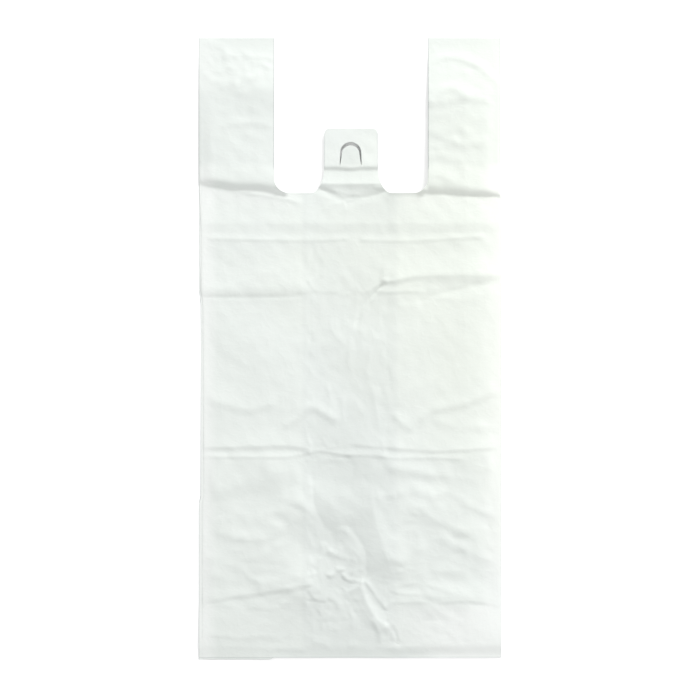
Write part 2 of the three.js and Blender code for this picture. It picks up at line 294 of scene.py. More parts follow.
@dataclass(frozen=True)
class PackMarks:
    """The marks that folding and packing have left on the front, region by region.

    Each crease is listed one by one: its name, its path's points across and along the bag, its rise, the
    width of its lit slope and that of its shaded slope, in millimetres.
    """

    # Creases of the left handle above the mouth fold.
    left_handle: tuple[Crease, ...] = (
        Crease(
            "left_top_1", ((-144, 610), (-131, 608), (-123, 603), (-117, 599), (-107, 598)),
            0.6, 6, 4, fade=4,
        ),
        Crease("left_top_2", ((-106, 602), (-97, 597), (-83, 596), (-73, 594)), 0.6, 6, 4, fade=4),
        Crease("left_top_3", ((-93, 592), (-87, 590), (-77, 584)), 0.7, 5, 3.5, fade=3),
        Crease("left_slant_1", ((-130, 564), (-125, 568), (-116, 573), (-108, 581)), 0.5, 6, 4),
        Crease("left_slant_2", ((-120, 563), (-116, 566), (-102, 574), (-86, 580)), 0.5, 6, 4),
        Crease("left_line_high", ((-111, 543), (-97, 544), (-84, 542)), 0.16, 6, 3),
        Crease("left_line", ((-127, 530), (-99, 531), (-87, 530), (-73, 527)), 0.65, 8, 4.5, fade=9),
        Crease("left_line_low", ((-127, 524), (-111, 525)), 0.17, 5, 4),
        Crease("left_nick_1", ((-87, 551), (-73, 550)), 0.19, 6, 3, fade=3),
        Crease("left_nick_2", ((-85, 502), (-73, 502)), 0.25, 5, 3, fade=3),
        Crease("left_nick_3", ((-89, 493), (-73, 495)), 0.25, 5, 3, fade=3),
        Crease("left_nick_4", ((-83, 518), (-73, 519)), 0.22, 5, 3, fade=3),
    )

    # Creases of the right handle above the mouth fold.
    right_handle: tuple[Crease, ...] = (
        Crease(
            "right_arc", ((73, 578), (80, 587), (85, 592), (93, 596), (106, 596), (119, 592), (133, 584),
            (151, 569)), 0.75, 9, (3, 6), fade=1.5,
        ),
        Crease("right_top", ((79, 604), (90, 603)), 0.21, 6, 4, fade=3),
        Crease(
            "right_second", ((75, 547), (81, 553), (87, 559), (97, 567), (107, 565), (121, 556)),
            0.8, 8, (4, 8), fade=2.5,
        ),
        Crease("right_third", ((77, 551), (99, 554), (115, 556), (139, 553)), 0.75, 9, (9, 5), fade=4),
        Crease("right_fourth", ((77, 537), (89, 539), (99, 544)), 0.28, 5, 3, fade=3),
        Crease("right_fifth", ((93, 523), (121, 523)), 0.19, 6, 3),
        Crease(
            "right_sixth", ((77, 524), (91, 517), (99, 514), (108, 510), (118, 509), (139, 513)),
            0.55, 10, 4, fade=4,
        ),
        Crease("right_nick_1", ((75, 507), (91, 507)), 0.41, 5, 3, fade=2),
        Crease("right_nick_2", ((75, 498), (90, 499), (99, 497), (115, 493)), 0.34, 6, 4, fade=3),
        Crease("right_nick_3", ((77, 574), (89, 575)), 0.16, 6, 3, fade=3),
    )

    # The fold that crosses both handles beside the mouth, and those of the tab.
    mouth: tuple[Crease, ...] = (
        Crease(
            "mouth_left", ((-163, 479), (-144, 479), (-129, 478), (-113, 476), (-94, 476), (-81, 475),
            (-59, 470)), 3.0, 140, (8, 12), fade=2, slope=Slope.CLIFF,
        ),
        Crease("mouth_left_lip", ((-113, 464), (-87, 460), (-59, 455), (-46, 450)), 0.4, 6, 4, fade=7),
        Crease("mouth_left_edge", ((-73, 467), (-38, 465)), 1.01, 10, 4, fade=3),
        Crease("mouth_right_high", ((77, 480), (87, 479), (97, 476), (107, 472)), 0.35, 12, 6, fade=5),
        Crease(
            "mouth_right", ((52, 477), (73, 475), (94, 473), (109, 471), (124, 469), (139, 468), (153, 465)),
            3.1, 128, (14.5, 7.5), fade=2, slope=Slope.CLIFF,
        ),
        Crease("mouth_right_edge", ((38, 465), (77, 465)), 1.47, 8, 7, fade=3),
        Crease(
            "tab_fold", ((-38, 488), (-13, 488), (0, 487), (13, 488), (40, 488)),
            1.2, 42, 3.2, fade=1, slope=Slope.PLAIN,
        ),
        Crease("tab_second", ((-36, 472), (-20, 471), (0, 471), (36, 471)), 1.5, 13, 9, fade=2),
        Crease(
            "tab_v_left", ((-38, 468), (-26, 465), (-16, 460), (-5, 454)),
            0.7, 3.5, 6, fade=3, form=Form.GROOVE,
        ),
        Crease(
            "tab_v_right", ((-7, 454), (8, 457), (24, 460), (37, 465)),
            0.8, 5, 8, fade=3, form=Form.GROOVE,
        ),
        Crease("tab_v_inner", ((-20, 466), (-5, 462), (10, 461)), 0.32, 5, 3, fade=4),
        Crease("tab_v_tail", ((-29, 444), (-16, 450), (-4, 455)), 0.28, 6, 3, fade=4),
        Crease("tab_knot", ((22, 468), (30, 467), (36, 466)), 0.44, 5, 3, fade=3),
    )

    # The double fold below the mouth.
    upper: tuple[Crease, ...] = (
        Crease("double_upper", ((-153, 432), (0, 432), (153, 432)), 0.5, 20, 9, fade=1, slope=Slope.PLAIN),
        Crease("double_lower_left", ((-146, 417), (-99, 416), (-38, 415), (0, 417)), 0.42, 6, 3, fade=5),
        Crease(
            "double_lower_right", ((8, 416), (30, 415), (65, 415), (99, 417), (135, 419)),
            0.42, 6, 3, fade=5,
        ),
        Crease("upper_bow", ((-127, 438), (-117, 436), (-107, 438)), 0.13, 5, 3, fade=3),
        Crease("gusset_roof", ((-43, 394), (-37, 406), (-24, 392)), 0.3, 6, 4, fade=3),
        Crease("gusset_spot_1", ((-38, 413), (-30, 407)), 0.28, 5, 3, fade=2),
        Crease("gusset_spot_2", ((-30, 379), (-23, 384)), 0.25, 5, 3, fade=2),
        Crease("gusset_smudge", ((-20, 372), (-12, 378), (-1, 384)), 0.25, 8, 8, fade=6),
    )

    # The shoulder fold: a drop on the left, a lens on the right, and the hook between them.
    shoulder: tuple[Crease, ...] = (
        Crease(
            "shoulder_left", ((-176, 368), (-119, 369), (-79, 370), (-50, 372), (-34, 377)),
            1.15, 34, (9, 12), fade=20, slope=Slope.CLIFF,
        ),
        Crease("shoulder_left_lip", ((-152, 355), (-99, 355), (-46, 356)), 0.16, 6, 2.5, fade=4),
        Crease("shoulder_faint", ((-129, 369), (-104, 375), (-89, 381), (-47, 387)), 0.19, 13, 6),
        Crease(
            "shoulder_knot", ((-42, 380), (-40, 373), (-36, 367), (-28, 364), (-8, 365)),
            0.3, 12, 3, fade=6,
        ),
        Crease("shoulder_knot_low", ((-10, 360), (2, 363)), 0.22, 5, 3, fade=3),
        Crease(
            "lens_upper", ((28, 377), (43, 375), (60, 379), (89, 381), (123, 381), (178, 380)),
            1.2, 26, (5, 13), fade=6,
        ),
        Crease("lens_lower_1", ((22, 365), (43, 364), (58, 365), (73, 364)), 0.5, 10, 3, fade=5),
        Crease(
            "lens_lower_2", ((67, 354), (89, 362), (110, 367), (123, 370), (153, 377)),
            0.6, 8, 12, fade=4, form=Form.GROOVE,
        ),
        Crease("lens_inner", ((50, 369), (74, 373), (89, 377)), 0.25, 8, 4),
        Crease("lens_dash", ((77, 357), (105, 359)), 0.16, 6, 3, fade=5),
        Crease("hook_upper", ((10, 360), (19, 366), (28, 371), (40, 374)), 0.5, 8, 3, fade=4),
        Crease(
            "hook_lower", ((5, 329), (8, 338), (11, 346), (17, 355), (25, 364), (35, 375)),
            1.6, 2.8, 2.8, fade=8, form=Form.GROOVE,
        ),
        Crease("shoulder_dash", ((46, 350), (68, 350)), 0.35, 6, 3, fade=4),
    )

    # The soft fold above the middle, and the upright wrinkles of the centre.
    waist: tuple[Crease, ...] = (
        Crease(
            "waist_left", ((-149, 259), (-127, 253), (-110, 248), (-93, 249), (-71, 256)),
            0.7, 14, 6, fade=9,
        ),
        Crease("waist_left_2", ((-77, 248), (-46, 249)), 0.21, 6, 4),
        Crease(
            "waist_peak", ((-69, 229), (-53, 239), (-42, 249), (-34, 249), (-27, 245), (-10, 235)),
            1.0, 9, 6, fade=7,
        ),
        Crease(
            "waist_right", ((41, 244), (51, 235), (60, 229), (65, 234), (75, 243), (82, 246), (99, 250),
            (115, 253), (149, 267)), 0.75, 12, 4.5, fade=6,
        ),
        Crease("waist_right_2", ((43, 231), (66, 230)), 0.22, 5, 3, fade=4),
        Crease("waist_right_3", ((50, 225), (67, 225)), 0.22, 5, 3, fade=4),
        Crease("waist_right_4", ((79, 238), (106, 231), (124, 230), (149, 230)), 0.45, 11, 5, fade=8),
        Crease("upright_1", ((-2, 321), (-1, 307), (0, 293), (6, 281)), 0.3, 8, 6, fade=8),
        Crease("upright_2", ((16, 277), (22, 264), (26, 247), (29, 230), (32, 220)), 0.3, 9, 6, fade=12),
        Crease("upright_3", ((36, 271), (38, 257), (43, 248)), 0.22, 6, 6, fade=8),
        Crease("upright_4", ((2, 261), (8, 252), (15, 241)), 0.25, 6, 5, fade=8),
        Crease("upright_5", ((22, 322), (31, 313)), 0.35, 4, 3, fade=3),
        Crease("upright_6", ((-10, 264), (-7, 249), (-9, 235)), 0.22, 6, 5, fade=8),
        Crease("upright_7", ((21, 315), (18, 289), (17, 273)), 0.25, 8, 5, fade=10),
        Crease("upright_8", ((-20, 338), (-16, 323), (-4, 311)), 0.3, 6, 4, fade=5),
        Crease("upright_9", ((-24, 274), (-20, 263)), 0.4, 5, 3, fade=3),
    )

    # The sharp fold across the middle.
    middle: tuple[Crease, ...] = (
        Crease(
            "middle_left", ((-178, 210), (-117, 211), (-77, 212), (-62, 212), (-47, 210), (-36, 207)),
            0.7, 18, 5, fade=6,
        ),
        Crease(
            "middle_left_low", ((-153, 201), (-68, 201), (-57, 202), (-37, 206), (-27, 207), (-16, 205),
            (4, 202)), 0.4, 5, 3, fade=6,
        ),
        Crease(
            "middle_low", ((-20, 202), (4, 203), (29, 202), (41, 200), (69, 200), (89, 200), (119, 198)),
            0.42, 7, 3.5, fade=12,
        ),
        Crease(
            "middle_right", ((-5, 214), (30, 211), (54, 209), (80, 207), (109, 208), (153, 211)),
            0.55, 16, 4, fade=14,
        ),
        Crease("middle_third", ((32, 192), (50, 189), (75, 185), (103, 184)), 0.9, 14, 9, fade=9),
        Crease("middle_fourth", ((74, 181), (95, 180), (111, 180), (131, 175)), 0.34, 6, 4, fade=5),
        Crease(
            "middle_blot", ((-93, 188), (-73, 187), (-59, 187), (-45, 184)),
            1.0, 22, 14, fade=12, slope=Slope.DOME,
        ),
        Crease("middle_knot_1", ((-44, 221), (-38, 211)), 0.45, 5, 3, fade=3),
        Crease("middle_knot_2", ((-28, 217), (-20, 210), (-14, 212)), 0.28, 5, 3, fade=3),
        Crease("middle_cross", ((-34, 196), (-20, 198), (0, 197)), 0.29, 6, 4),
    )

    # Slack and scuffs at the left, between the middle and the bottom weld.
    lower_left: tuple[Crease, ...] = (
        Crease(
            "slack_arc", ((-149, 168), (-129, 172), (-109, 175), (-87, 176), (-59, 171)),
            1.0, 26, 14, fade=14, slope=Slope.DOME,
        ),
        Crease(
            "slack_to_peak", ((-87, 162), (-68, 159), (-57, 156), (-48, 152), (-36, 146)),
            0.5, 12, 4, fade=8,
        ),
        Crease("slack_dash", ((-87, 146), (-65, 146)), 0.26, 8, 5),
        Crease("side_nick", ((-125, 142), (-117, 136)), 0.21, 6, 4, fade=3),
        Crease(
            "side_bow", ((-144, 128), (-126, 124), (-114, 120), (-100, 119), (-86, 119), (-77, 123),
            (-61, 132)), 0.5, 16, 7, fade=14,
        ),
        Crease("side_dash", ((-117, 102), (-103, 97)), 0.13, 6, 4, fade=5),
        Crease("fold_left", ((-159, 55), (-128, 61), (-107, 64), (-91, 66), (-83, 67)), 0.55, 22, 4, fade=10),
        Crease(
            "fold_left_knot", ((-95, 66), (-79, 68), (-57, 72), (-47, 74), (-39, 74), (-34, 70)),
            0.75, 20, 5, fade=9,
        ),
        Crease("fold_left_low_1", ((-131, 53), (-115, 53)), 0.25, 8, 4, fade=5),
        Crease("fold_left_low_2", ((-105, 52), (-83, 51), (-61, 53)), 0.34, 8, 4, fade=5),
        Crease("fold_left_low_3", ((-72, 56), (-57, 57)), 0.25, 5, 3, fade=4),
        Crease("left_scuff_1", ((-103, 19), (-93, 31), (-81, 39)), 0.21, 6, 4),
        Crease("left_scuff_2", ((-77, 25), (-67, 37), (-54, 46)), 0.29, 6, 4),
        Crease("left_scuff_3", ((-63, 19), (-54, 33), (-46, 39)), 0.29, 6, 4),
        Crease(
            "weld_left_1", ((-159, 26), (-128, 23), (-111, 21), (-94, 23), (-85, 23), (-65, 18)),
            0.4, 12, 4, fade=12,
        ),
        Crease("weld_left_2", ((-132, 13), (-109, 12), (-85, 11)), 0.19, 5, 3),
    )

    # The wrinkles that gather over the gussets' inner folds near the bottom.
    lower_middle: tuple[Crease, ...] = (
        Crease(
            "peak_shade", ((-39, 188), (-37, 173), (-36, 162), (-34, 148)),
            0.15, 10, 4, fade=12, form=Form.GROOVE,
        ),
        Crease(
            "centre_fall", ((-38, 170), (-34, 151), (-29, 139), (-24, 128), (-18, 121), (-5, 117)),
            0.9, 16, 12, fade=20, form=Form.GROOVE,
        ),
        Crease("centre_nose", ((-16, 127), (-8, 129), (0, 124)), 0.45, 4, 4, fade=4),
        Crease(
            "centre_curve", ((-5, 138), (0, 131), (6, 123), (12, 114), (16, 104), (16, 93), (15, 81)),
            0.6, 12, 6, fade=10, form=Form.GROOVE,
        ),
        Crease(
            "centre_right", ((19, 180), (21, 160), (24, 142), (29, 125), (34, 111), (38, 95), (46, 75)),
            1.3, 24, 24, fade=28,
        ),
        Crease("centre_small_1", ((-25, 110), (-16, 105), (-10, 102), (0, 99)), 0.5, 5, 3, fade=4),
        Crease("centre_small_2", ((-16, 92), (-10, 89), (-3, 90)), 0.45, 4, 3, fade=3),
        Crease("centre_small_3", ((-23, 82), (-14, 86), (-6, 92)), 0.5, 5, 4, fade=3),
        Crease("centre_small_4", ((-6, 114), (2, 110), (8, 103)), 0.22, 5, 3, fade=3),
        Crease("centre_small_5", ((-30, 118), (-26, 109), (-20, 103)), 0.34, 6, 4, fade=4),
        Crease("short_ridge", ((-9, 86), (-5, 81), (-1, 78), (4, 78), (14, 76)), 0.85, 10, 2.6, fade=3),
        Crease("diagonal", ((14, 79), (21, 70), (28, 59), (38, 48)), 0.85, 22, 3, fade=4),
        Crease(
            "facet", ((6, 79), (12, 69), (16, 58), (21, 48), (27, 39), (40, 27)),
            1.7, (14, 9), (20, 9), fade=7, slope=Slope.PLAIN,
        ),
        Crease("facet_tail", ((21, 42), (26, 33), (29, 25), (30, 14)), 0.9, 6, 5, fade=6),
        Crease("facet_end", ((34, 40), (39, 33), (45, 24), (48, 12)), 0.7, 4, 4, fade=5, form=Form.GROOVE),
        Crease("diagonal_low", ((35, 35), (41, 28), (44, 20), (51, 18)), 0.5, 14, 3, fade=4),
        Crease("zigzag_1", ((-42, 71), (-38, 65), (-33, 60), (-22, 58)), 0.6, 9, 3, fade=3),
        Crease("zigzag_2", ((-33, 51), (-27, 44), (-19, 40)), 0.41, 6, 3, fade=3),
        Crease("zigzag_3", ((-33, 39), (-19, 40)), 0.28, 5, 3, fade=3),
        Crease("zigzag_4", ((-20, 63), (-12, 55), (-12, 47)), 0.35, 7, 5, fade=5),
        Crease("upright_low_1", ((3, 51), (3, 39), (2, 25)), 0.5, 9, 6, fade=8),
        Crease("upright_low_2", ((-38, 55), (-37, 39), (-36, 19)), 0.3, 6, 4, fade=8),
        Crease("dash_low", ((25, 160), (36, 161), (46, 161)), 0.6, 14, 2.6, fade=2),
    )

    # Fanned wrinkles and ripples at the right, down to the bottom weld.
    lower_right: tuple[Crease, ...] = (
        Crease("dash_shade", ((42, 165), (59, 166), (75, 164), (95, 158)), 0.6, 12, 7, fade=8),
        Crease("fan_1", ((99, 164), (116, 155), (129, 148), (149, 141)), 0.45, 10, 5, fade=7),
        Crease("fan_2", ((87, 168), (99, 163)), 0.22, 6, 3, fade=4),
        Crease("fan_3", ((117, 165), (127, 160), (139, 156)), 0.16, 6, 3, fade=4),
        Crease("fan_main", ((65, 153), (79, 142), (92, 135), (107, 130), (133, 123)), 0.65, 20, 10, fade=14),
        Crease("fan_lip", ((79, 121), (106, 111), (129, 103), (149, 96)), 0.3, 18, 8, fade=14),
        Crease("fan_knot_1", ((58, 148), (69, 142)), 0.4, 6, 3, fade=3),
        Crease("fan_knot_2", ((52, 151), (77, 151)), 0.29, 8, 4),
        Crease("fan_knot_3", ((48, 136), (61, 138), (79, 137)), 0.19, 6, 3),
        Crease("fan_spot_1", ((64, 126), (71, 122)), 0.25, 5, 3, fade=2),
        Crease("fan_spot_2", ((64, 117), (74, 118)), 0.19, 5, 3, fade=3),
        Crease("fan_low_1", ((78, 102), (98, 102)), 0.16, 5, 3),
        Crease("fan_low_2", ((74, 88), (122, 88)), 0.35, 18, 10, fade=14),
        Crease("ripple_1", ((45, 85), (55, 89), (65, 90)), 0.25, 5, 3, fade=4),
        Crease("ripple_2", ((40, 72), (53, 74), (67, 76)), 0.28, 6, 3, fade=4),
        Crease("ripple_3", ((32, 63), (41, 68), (52, 65), (71, 66)), 0.4, 7, 3, fade=3),
        Crease("ripple_4", ((73, 81), (81, 73), (89, 69)), 0.19, 6, 3, fade=4),
        Crease("fold_right_1", ((38, 57), (77, 57)), 0.32, 6, 3, fade=4),
        Crease("fold_right_2", ((87, 56), (109, 58), (129, 57), (152, 53)), 0.4, 18, 3, fade=4),
        Crease("right_scuff_1", ((73, 51), (83, 41), (92, 30)), 0.28, 6, 3, fade=4),
        Crease("right_scuff_2", ((84, 38), (87, 25)), 0.45, 6, 3, fade=3),
        Crease("right_scuff_3", ((92, 30), (101, 25), (109, 18)), 0.25, 5, 3, fade=3),
        Crease("right_scuff_4", ((46, 24), (55, 29), (63, 25)), 0.25, 5, 3, fade=3),
        Crease("right_scuff_5", ((61, 23), (73, 25)), 0.25, 5, 3, fade=3),
        Crease("right_scuff_6", ((54, 37), (63, 31), (73, 29)), 0.22, 6, 3, fade=4),
        Crease("weld_right", ((26, 8), (50, 10), (89, 12), (129, 13), (178, 11)), 0.5, 34, 10, fade=24),
        Crease("weld_dark_1", ((-87, 10), (-64, 9), (-42, 8)), 0.4, 8, 5, fade=5),
        Crease("weld_dark_2", ((-39, 18), (-30, 15), (-20, 13)), 0.6, 8, 6, fade=4),
        Crease("weld_dark_3", ((24, 14), (40, 11), (50, 11)), 0.35, 6, 6, fade=4),
        Crease("weld_dark_4", ((-4, 13), (10, 13)), 0.5, 6, 6, fade=4),
    )

    # Patches of small creases between the larger ones.
    crumples: tuple[Crumple, ...] = (
        Crumple("centre_low", (-14, 72), (34, 46), 110, 17, 0.3, 110, 50, seed=11, width=4.5),
        Crumple("centre_high", (8, 270), (34, 100), 80, 26, 0.2, 95, 30, seed=12, width=5),
        Crumple("right_low", (92, 110), (56, 78), 80, 40, 0.32, -20, 20, seed=13, width=9),
        Crumple("left_low", (-92, 110), (56, 75), 70, 40, 0.26, 5, 20, seed=14, width=9),
        Crumple("left_high", (-92, 330), (56, 120), 60, 36, 0.1, 0, 25, seed=15),
        Crumple("right_high", (92, 330), (56, 120), 60, 36, 0.1, 0, 25, seed=16),
        Crumple("left_handle_top", (-118, 586), (34, 18), 70, 13, 0.42, 20, 60, seed=17, width=4),
        Crumple("left_handle", (-104, 535), (30, 42), 50, 22, 0.22, 5, 20, seed=20, width=4.5),
        Crumple("right_handle", (112, 540), (34, 60), 60, 26, 0.24, -8, 28, seed=18, width=5),
        Crumple("left_weld", (-70, 24), (72, 20), 60, 18, 0.18, 25, 45, seed=19, width=3.5),
        Crumple("right_weld", (82, 24), (62, 20), 55, 18, 0.2, -20, 45, seed=21, width=3.5),
        Crumple("gusset_left", (-38, 250), (5, 200), 90, 10, 0.26, 70, 50, seed=22, width=3.5),
        Crumple("gusset_right", (34, 200), (5, 190), 70, 10, 0.22, 80, 50, seed=24, width=3.5),
        Crumple("tab_patch", (1, 505), (26, 20), 10, 14, 0.07, 0, 60, seed=23, width=4),
    )

    def all(self) -> list[Crease]:
        """Every crease of the front, from the handles down."""
        regions = (
            self.left_handle, self.right_handle, self.mouth, self.upper, self.shoulder, self.waist,
            self.middle, self.lower_left, self.lower_middle, self.lower_right,
        )
        placed = [crease for region in regions for crease in region]
        strewn = [crease for patch in self.crumples for crease in patch.creases()]
        return placed + strewn


@dataclass(frozen=True)
class Swell:
    """Slow waves of the slack film, the sum of a few waves that run in different directions."""

    height: float
    shortest: float
    longest: float
    waves: int
    seed: int

    def lift(self, across: np.ndarray, along: np.ndarray) -> np.ndarray:
        """The waves' height at each place.

        Args:
            across: The places across the bag.
            along: The places along the bag.

        Returns:
            The height at each place.
        """
        chance = np.random.default_rng(self.seed)
        total = np.zeros_like(across)
        for _ in range(self.waves):
            length = chance.uniform(self.shortest, self.longest)
            heading, phase = chance.uniform(0, math.pi), chance.uniform(0, 2 * math.pi)
            way = across * math.cos(heading) + along * math.sin(heading)
            total += self.height * np.sin(2 * math.pi * way / length + phase)
        return total


@dataclass
class FilmTube:
    """The folded tube of film, with its gussets, welds and creases, in millimetres.

    half_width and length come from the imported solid. Each outline is a line of places along the bag and
    how far an edge is set in there, for all layers or for the front's share of them. Zones give the lowest
    place, the highest place and the step of the grid.
    """

    half_width: float
    length: float
    gusset_depth: float = 110.0
    film: float = 0.02
    pitch: float = 0.6
    pressed: float = 0.04
    bottom_skirt_pitch: float = 0.25
    bottom_skirt: float = 14.0
    top_skirt: float = 5.0
    weld_width: float = 3.0
    bottom_spread: float = 45.0
    top_spread: float = 44.0
    weld_lift: float = 1.1
    weld_lift_right: float = 1.9
    lift_from: float = 20.0
    lift_run: float = 70.0
    skirt_lift: float = 0.25
    pillow: float = 0.5
    left_run: float = 60.0
    right_run: float = 34.0
    pinch: float = 0.25
    held_run: float = 14.0
    held_share: float = 0.45
    pressed_share: float = 0.6
    deepest: float = 0.8
    slack_gain: float = 2.2
    slack_from: float = 185.0
    slack_run: float = 30.0
    gusset_step: float = 0.3
    step_run: float = 5.0
    fold_radius: float = 0.4
    tip_inset: float = 0.1
    tip_layers: tuple[float, ...] = (0.2, 0.5, 0.8)
    leaf_stations: int = 4
    bottom_step: float = 2.0
    bottom_step_at: float = -79.0
    bottom_step_blend: float = 0.5
    bottom_step_share: float = 0.3
    bottom_step_run: float = 60.0
    back_left: float = -115.0
    back_rest: tuple[float, ...] = (-40.0, 0.0, 40.0, 80.0, 115.0)
    column_step: float = 2.6
    column_zones: Zones = ((-48, 52, 1.5),)
    row_step: float = 3.1
    row_zones: Zones = (
        (0, 30, 1.8),
        (34, 96, 1.6),
        (96, 150, 2.2),
        (196, 214, 1.3),
        (352, 382, 1.6),
        (410, 434, 1.5),
        (450, 492, 1.3),
        (580, 604, 2.2),
    )
    outline_left: Path = (
        (0, 0.0),
        (155, 0.0),
        (162, 1.6),
        (300, 2.0),
        (352, 1.8),
        (366, 0.2),
        (462, 0.0),
        (616, 0.0),
    )
    outline_right: Path = ((0, 0.2), (300, 0.0), (455, 0.1), (475, 1.2), (616, 1.0))
    front_left: Path = ((0, 3.8), (155, 3.6), (300, 2.6), (360, 2.4), (432, 2.4), (470, 0.6), (616, 0.0))
    front_right: Path = ((0, 0.9), (616, 0.7))
    marks: PackMarks = PackMarks()
    slack: Swell = Swell(height=0.10, shortest=50.0, longest=170.0, waves=14, seed=7)
    ripples: Swell = Swell(height=0.014, shortest=11.0, longest=26.0, waves=30, seed=8)

    @property
    def inner_fold(self) -> float:
        """Where the gussets end, across from the middle."""
        return self.half_width - self.gusset_depth

    def flat_width(self) -> float:
        """Width of the film when the tube is slit and laid out."""
        return 4 * (self.half_width + self.gusset_depth)

    def rows(self) -> np.ndarray:
        """Places of the rows along the bag, closer where creases run."""
        return spaced(0, self.length, self.row_step, self.row_zones)

    def front_columns(self) -> np.ndarray:
        """Places of the front's columns across the bag, closer in the middle."""
        edge = self.half_width - self.fold_radius
        return spaced(-edge, edge, self.column_step, self.column_zones)

    def back_columns(self) -> np.ndarray:
        """Places of the back's columns, from one edge to the other, with one pair at the bottom's step."""
        edge = self.half_width - self.fold_radius
        step = [self.bottom_step_at - self.bottom_step_blend, self.bottom_step_at + self.bottom_step_blend]
        return np.array([-edge, self.back_left, *step, *self.back_rest, edge])

    def side_ring(self) -> list[tuple[float, float]]:
        """One gusset's stations from the back's edge to the front's, across and by layer."""
        edge = self.half_width - self.fold_radius
        leaf = np.linspace(edge, self.inner_fold + self.fold_radius, self.leaf_stations)
        rounded = self.half_width - self.tip_inset
        tip = list(zip((rounded, self.half_width, rounded), self.tip_layers))
        lower = tip + [(across, 1.0) for across in leaf]
        upper = [(across, 2.0) for across in leaf[::-1]] + [(across, layer + 2) for across, layer in tip]
        return [*lower, (self.inner_fold, 1.5), *upper]

    def ring(self) -> tuple[np.ndarray, np.ndarray]:
        """The folded section, as one way round the tube from the back's left edge.

        Returns:
            The place across and the layer, counted from the back, of each station. The last station
            meets the first one.
        """
        back = [(across, 0.0) for across in self.back_columns()]
        right = self.side_ring()
        front = [(across, 3.0) for across in self.front_columns()[::-1]]
        left = [(-across, layer) for across, layer in reversed(right)]
        whole = np.array([*back, *right, *front, *left, back[0]])
        return whole[:, 0], whole[:, 1]

    def pitch_at(self, along: np.ndarray) -> np.ndarray:
        """The pitch from layer to layer: pressed at the welds, loose between them."""
        weld = self.bottom_skirt
        weld_end = weld + self.weld_width
        top_weld = self.length - self.top_skirt - self.weld_width
        line = (
            (0, self.bottom_skirt_pitch),
            (weld, self.pressed),
            (weld_end, self.pressed),
            (weld_end + self.bottom_spread, self.pitch),
            (top_weld - self.top_spread, self.pitch),
            (top_weld, self.pressed),
            (self.length, self.pressed),
        )
        return interpolated(line, along)

    def base_lift(self, across: np.ndarray, along: np.ndarray) -> np.ndarray:
        """How far the stiff bottom weld holds all layers off the surface, more so at the right."""
        weld = self.bottom_skirt + self.weld_width / 2
        below = self.skirt_lift + (1 - self.skirt_lift) * smoothstep(along / weld)
        above = 1 - smoothstep((along - weld) / self.bottom_spread)
        rightward = smoothstep((across - self.lift_from) / self.lift_run)
        lift = self.weld_lift + (self.weld_lift_right - self.weld_lift) * rightward
        return lift * np.where(along < weld, below, above)

    def looseness(self, along: np.ndarray) -> np.ndarray:
        """From 0 at a weld to 1 where the layers lie loose."""
        return np.clip((self.pitch_at(along) - self.pressed) / (self.pitch - self.pressed), 0, 1)

    def front_lift(self, across: np.ndarray, along: np.ndarray) -> np.ndarray:
        """Height of the front above its plain layer: pillow, gusset step, creases and slow waves.

        Args:
            across: The places across the bag.
            along: The places along the bag.

        Returns:
            The height at each place.
        """
        loose = self.looseness(along)
        edge = self.fullness(across)
        step = 1 - smoothstep((np.abs(across) - self.inner_fold + self.step_run) / (2 * self.step_run))
        marks = sum((crease.lift(across, along) for crease in self.marks.all()), np.zeros_like(across))
        upward = smoothstep((along - self.slack_from) / self.slack_run)
        gain = self.slack_gain + (1 - self.slack_gain) * upward
        waves = self.slack.lift(across, along) * gain + self.ripples.lift(across, along)
        free = smoothstep((self.half_width - np.abs(across)) / self.held_run)
        held = self.pressed_share + (1 - self.pressed_share) * loose
        held = held * (self.held_share + (1 - self.held_share) * free)
        lift = (self.pillow * edge - self.gusset_step * step * free + waves * free) * loose
        return np.maximum(lift + marks * held, -self.deepest * self.pitch * loose * edge)

    def fullness(self, across: np.ndarray) -> np.ndarray:
        """From 0 at the side folds, where the layers are pinched, to 1 inside them."""
        run = np.where(across < 0, self.left_run, self.right_run)
        return np.clip((self.half_width - np.abs(across)) / run, 0, 1)

    def shifted(self, x: np.ndarray, y: np.ndarray, layer: np.ndarray) -> tuple[np.ndarray, np.ndarray]:
        """Moves the layers a little within their own planes, because their folds don't quite meet.

        Args:
            x: The places across the bag.
            y: The places along the bag.
            layer: Each place's layer, counted from the back.

        Returns:
            The moved places across and along.
        """
        upper = np.clip(layer - 1, 0, 1)
        left = interpolated(self.outline_left, y) + upper * interpolated(self.front_left, y)
        right = interpolated(self.outline_right, y) + upper * interpolated(self.front_right, y)
        side = np.clip((np.abs(x) - self.inner_fold) / self.gusset_depth, 0, 1)
        moved_x = x + side * np.where(x < 0, left, -right)
        kept = np.where(x < self.bottom_step_at, self.bottom_step_share * upper, 1.0)
        moved_y = y + self.bottom_step * kept * np.clip(1 - y / self.bottom_step_run, 0, 1)
        return moved_x, moved_y

    def places(self) -> tuple[np.ndarray, int, int]:
        """Every grid point of the folded film, in metres in the row frame.

        Returns:
            The points, indexed by column and row, and how many columns and rows there are.
        """
        across, layer = self.ring()
        along = self.rows()
        x, y = np.meshgrid(across, along, indexing="ij")
        level = np.repeat(layer[:, None], len(along), axis=1)
        share = np.clip((level - 1) / 2, 0, 1)
        pinched = self.pinch + (1 - self.pinch) * self.fullness(x)
        z = self.film / 2 + self.base_lift(x, y) + level * self.pitch_at(y) * pinched
        z += share * self.front_lift(x, y)
        x, y = self.shifted(x, y, level)
        z = np.maximum(z, self.film / 2)
        points = np.stack([x, y - self.length / 2, z], axis=-1) * MM
        return points, len(across), len(along)

